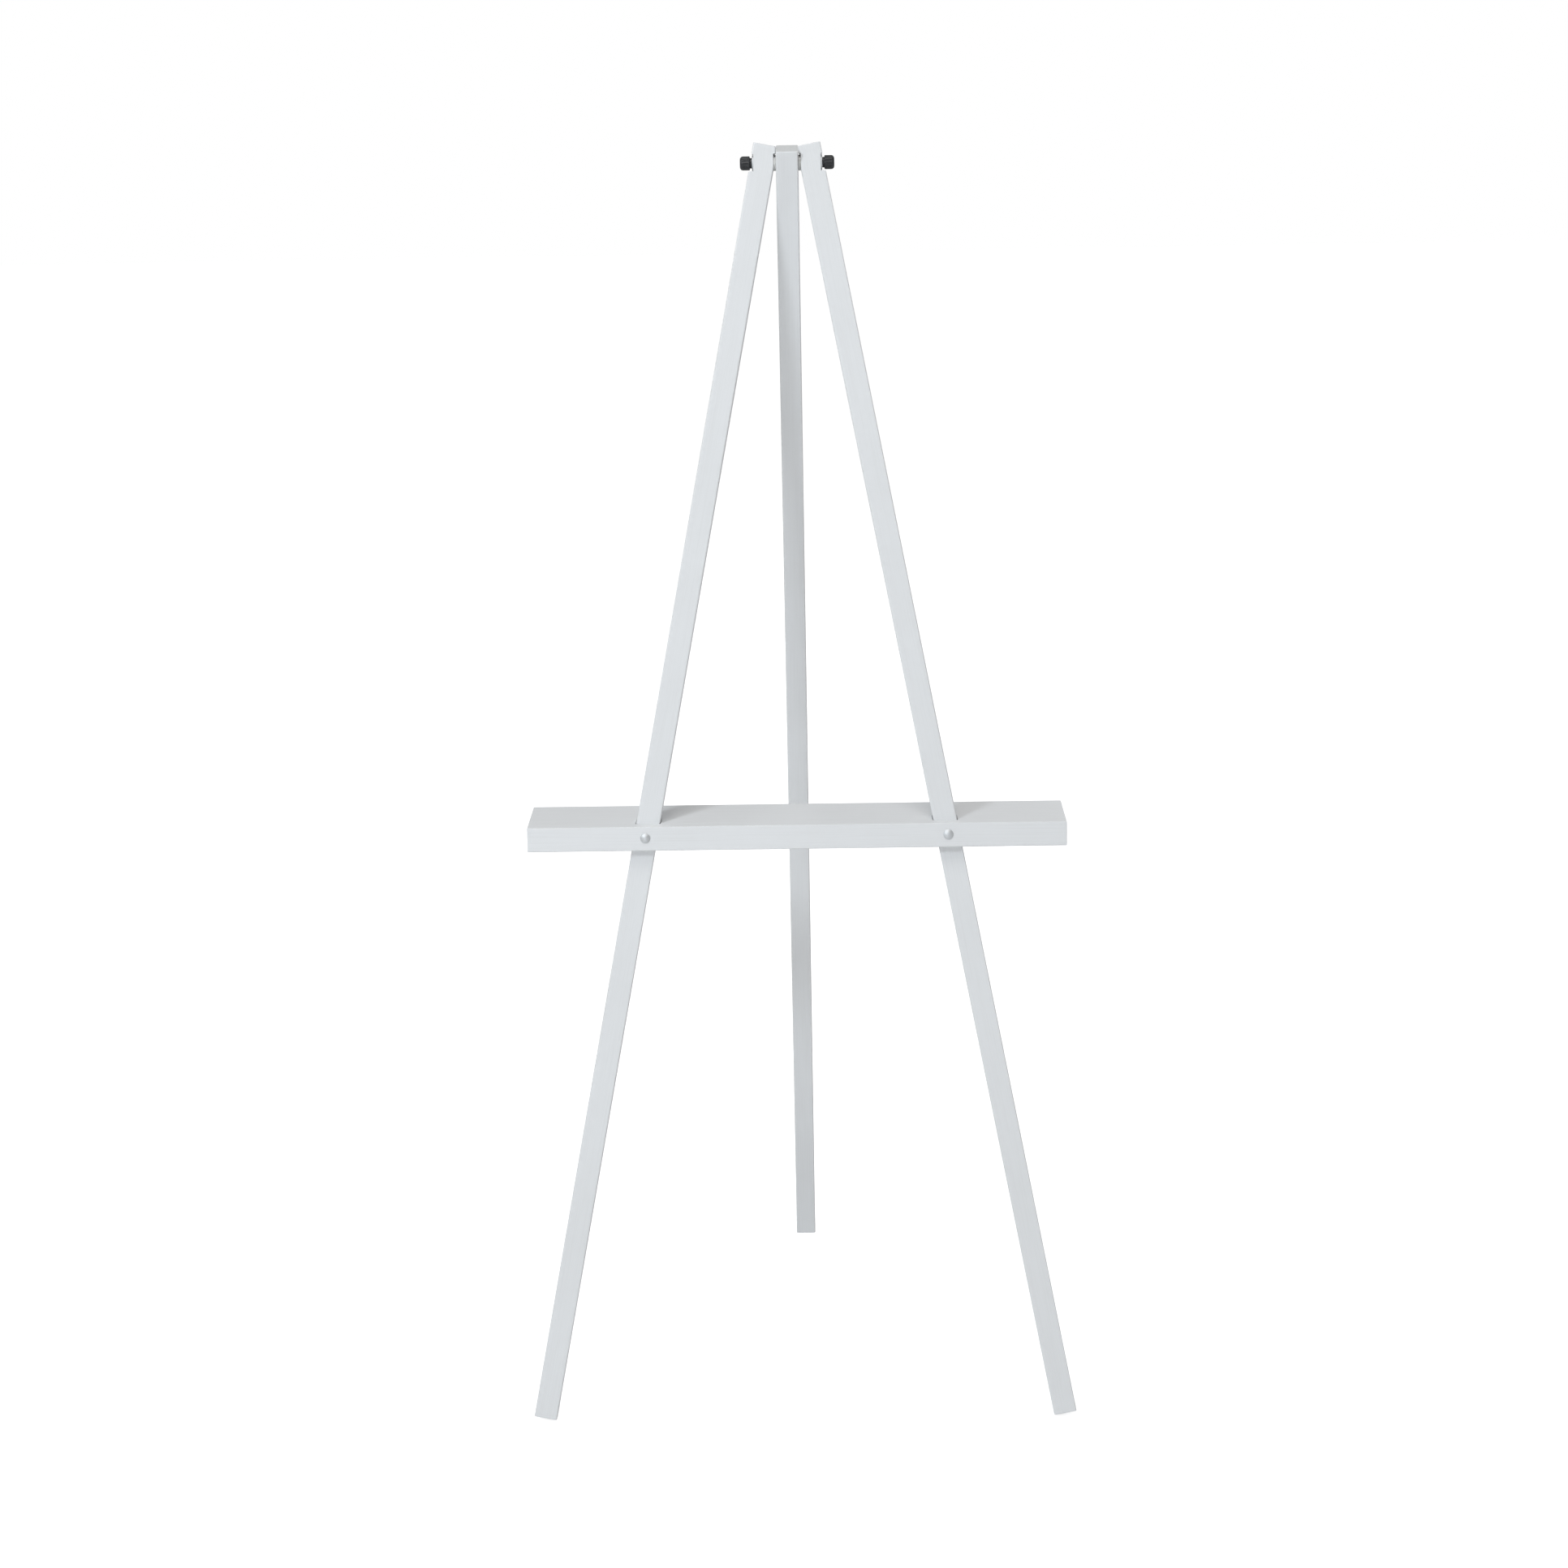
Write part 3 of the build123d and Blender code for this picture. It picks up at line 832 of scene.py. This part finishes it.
def makeHead():
    low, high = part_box("pivot_stud")
    threads = [
        (low.x + head["plainTip"], -head["knobAt"]),
        (head["knobAt"] - head["threadInside"], high.x - head["chamfer"]),
    ]
    profile = rodProfile(head["stud"], low.x, high.x, head["chamfer"], threads, head["pitch"])
    screw = threadedRadius(head["stud"], head["pitch"], threads)
    mesh = turnedMesh(
        "stud", profile, headCentre, across, head["segments"], head["girth"], screw
    )
    addPiece(
        "head_stud", mesh, "stud_and_left_knob", "pivot_stud", zincPlate, turnedSharp
    )
    bores = {"left": head["stud"], "right": knob["insertRadius"]}
    bodies = {"left": "stud_and_left_knob", "right": "right_knob"}
    for name, side in sides:
        out = across * side
        base = headCentre + out * head["knobAt"]
        makeKnob(f"head_knob_{name}", f"pivot_knob_{name}", bodies[name], base, out, bores[name])
        ringPiece(
            f"head_washer_{name}", f"outer_washer_{name}", headCentre + out * stock["outerSeat"], out,
            stock["studHole"], head["washerRadius"], head["washerThick"], head["washerEdge"],
            zincPlate,
        )
        ringPiece(
            f"head_spacer_{name}", f"spacer_washer_{name}", headCentre + out * head["spacerAt"], out,
            stock["studHole"], head["spacerRadius"], head["spacerThick"], head["spacerEdge"],
            spacerNylon,
        )


fixing = dict(
    shank=2.5 * mm,
    pitch=0.8 * mm,
    headRadius=6 * mm,
    headRise=3 * mm,
    headRim=0.6 * mm,
    domeRings=14,
    domeTip=0.01,  # radians from the crown to the last of them
    rimSide=0.8,  # the upright share of the rim
    rimEase=(0.3 * mm, 0.2 * mm),  # across and up, under the head
    neck=2.6 * mm,  # half the square neck
    neckCorner=3.3 * mm,  # radius that its corners are turned to
    neckLength=3.5 * mm,
    neckGap=0.05 * mm,  # the neck's last ring is this far under the head
    chamfer=0.5 * mm,
    threadLength=20 * mm,
    fineBeyond=2 * mm,  # how far the close rings go on past the thread
    shortOfBore=1 * mm,  # the tip stops this far from the bore's bottom
    washerRadius=7 * mm,
    washerThick=1.2 * mm,
    washerEdge=0.3 * mm,
    rub=0.1 * mm,  # gap between the washer and the knob that turns on it
    segments=64,
    girth=30 * mm,
    sharp=40,  # degrees
)


def boltProfile(reach):
    # The threaded shank, the flat under the head, its rim, and the dome: the arc of a circle through
    # the rim and the crown.
    f = fixing
    rise = f["headRise"] - f["headRim"]
    dome = (f["headRadius"] ** 2 + rise ** 2) / (2 * rise)
    swing = np.linspace(math.asin(f["headRadius"] / dome), f["domeTip"], f["domeRings"])
    domeHeight = f["headRise"] - dome * (1 - np.cos(swing))
    crown = np.stack([dome * np.sin(swing), domeHeight], -1)
    fine = (f["chamfer"] - reach, f["threadLength"] + f["fineBeyond"] - reach)
    shank = rodProfile(f["shank"], -reach, 0.0, f["chamfer"], [fine], f["pitch"])[:-2]
    inward, upward = f["rimEase"]
    under = np.array([(f["shank"], -f["neckGap"]), (f["headRadius"] - inward, 0.0)])
    rim = np.array([(f["headRadius"], upward), (f["headRadius"], f["headRim"] * f["rimSide"])])
    return np.vstack([shank, under, rim, crown])


def boltSurface(reach):
    f = fixing
    cut = (f["chamfer"] - reach, f["threadLength"] - reach)
    screw = threadedRadius(f["shank"], f["pitch"], [cut])

    def radiusAt(r, h, angle):
        # The square neck: half its width over the larger of |cos| and |sin|, under the head only.
        square = f["neck"] / np.maximum(np.abs(np.cos(angle)), np.abs(np.sin(angle)))
        square = np.minimum(square, f["neckCorner"])
        onShank = (h < -f["neckGap"] / 2) & (r < 1.2 * f["shank"])
        onNeck = onShank & (h > -f["neckLength"])
        return np.where(onNeck, np.maximum(square, r), screw(r, h, angle))

    return radiusAt


def makeFixings():
    f = fixing
    stack = tray["railThick"] + stock["frontThick"] + f["washerThick"] + f["rub"]
    reach = stack + knob["boreDepth"] - f["shortOfBore"]
    for name, _ in sides:
        face = np.array(trayAxis[name]["pos_m"])
        front = face + forward * tray["railThick"]
        back = face - forward * stock["frontThick"]
        mesh = turnedMesh(
            "bolt", boltProfile(reach), front, forward, f["segments"], f["girth"], boltSurface(reach)
        )
        node = f"tray_bolt_{name}"
        addPiece(f"dome_bolt_{name}", mesh, "front_frame", node, zincPlate, f["sharp"])
        ringPiece(
            f"tray_bolt_washer_{name}", f"tray_washer_{name}", back, -forward,
            stock["boltHole"], f["washerRadius"], f["washerThick"], f["washerEdge"],
            zincPlate,
        )
        base = back - forward * (f["washerThick"] + f["rub"])
        makeKnob(
            f"tray_clamp_knob_{name}", f"tray_knob_{name}", f"{name}_tray_knob", base, -forward,
            knob["insertRadius"],
        )


makeHead()
makeFixings()

# The brass inserts and the glued dowels keep their own shapes
for nodeName in ("pivot_knob_insert", "tray_knob_insert_left", "tray_knob_insert_right"):
    for materialSlot in frame["nodes"][nodeName].material_slots:
        materialSlot.material = turnedBrass
for materialSlot in frame["nodes"]["tray_dowels"].material_slots:
    materialSlot.material = dowelBeech
print("hardware made")


studio = dict(
    floorReach=14.0,
    floorColour=(0.86, 0.86, 0.86, 1),
    floorRoughness=0.9,
    floorSpecular=0.1,
    floorGlow=0.70,  # only as the camera sees it, so that it goes white
    worldLight=0.38,
    worldSeen=1.0,
)
lamps = dict(  # place, size, power and colour
    key=((-2.7, -3.3, 3.7), 1.0, 79, (0.89, 0.95, 1.0)),
    front=((-0.9, -4.9, 1.1), 3.0, 26, (0.89, 0.95, 1.0)),
    top=((-0.3, -2.2, 6.5), 2.6, 98, (1.0, 0.985, 0.96)),
    behind=((2.2, 4.6, 2.6), 2.6, 34, (0.95, 0.975, 1.0)),
)


def makeFloor():
    size = studio["floorReach"]
    mesh = bpy.data.meshes.new("floor")
    corners = [(-size, -size, 0), (size, -size, 0), (size, size, 0), (-size, size, 0)]
    mesh.from_pydata(corners, [], [(0, 1, 2, 3)])
    floor = bpy.data.objects.new("floor", mesh)
    bpy.context.collection.objects.link(floor)
    material, shader, node, join = newMaterial("studioFloor")
    shader.inputs["Base Color"].default_value = studio["floorColour"]
    shader.inputs["Roughness"].default_value = studio["floorRoughness"]
    shader.inputs["Specular IOR Level"].default_value = studio["floorSpecular"]
    shader.inputs["Emission Color"].default_value = (1, 1, 1, 1)
    path = node("LightPath")
    glow = node("Math", operation="MULTIPLY")
    join(path.outputs["Is Camera Ray"], glow.inputs[0])
    glow.inputs[1].default_value = studio["floorGlow"]
    join(glow.outputs[0], shader.inputs["Emission Strength"])
    mesh.materials.append(material)


def makeWorld():
    world = bpy.data.worlds.new("studio")
    bpy.context.scene.world = world
    world.use_nodes = True
    tree = world.node_tree
    back = tree.nodes["Background"]
    path = tree.nodes.new("ShaderNodeLightPath")
    strength = tree.nodes.new("ShaderNodeMapRange")
    strength.inputs["To Min"].default_value = studio["worldLight"]
    strength.inputs["To Max"].default_value = studio["worldSeen"]
    tree.links.new(path.outputs["Is Camera Ray"], strength.inputs["Value"])
    tree.links.new(strength.outputs["Result"], back.inputs["Strength"])
    back.inputs["Color"].default_value = (1, 1, 1, 1)


def areaLight(name, place, target, size, power, colour):
    data = bpy.data.lights.new(name, "AREA")
    data.shape, data.size, data.energy, data.color = "DISK", size, power, colour
    lamp = bpy.data.objects.new(name, data)
    lamp.location = place
    lamp.rotation_euler = (Vector(target) - Vector(place)).to_track_quat("-Z", "Y").to_euler()
    bpy.context.collection.objects.link(lamp)


# Where the camera stands and how it is turned; angles in degrees
view = dict(
    place=(0.0316, -3.4626, 1.7345),
    lens=66.0,
    shift=(0.0015, 0.0034),
    below=16.23,  # the horizon
    turned=0.85,  # to the left
    roll=-1.0,
)


def makeCamera():
    data = bpy.data.cameras.new("camera")
    data.sensor_width = 36
    data.lens = view["lens"]
    data.shift_x, data.shift_y = view["shift"]
    camera = bpy.data.objects.new("camera", data)
    camera.location = view["place"]
    aim = Euler((math.radians(90 - view["below"]), 0, math.radians(view["turned"]))).to_matrix()
    roll = Matrix.Rotation(math.radians(view["roll"]), 3, "Z")
    camera.rotation_euler = (aim @ roll).to_euler()
    bpy.context.collection.objects.link(camera)
    bpy.context.scene.camera = camera


makeFloor()
makeWorld()
middle = (cadBox[0] + cadBox[1]) / 2
for name, (place, size, power, colour) in lamps.items():
    areaLight(name, place, middle, size, power, colour)
makeCamera()
bpy.context.scene.view_settings.view_transform = "Standard"
print("stage set")
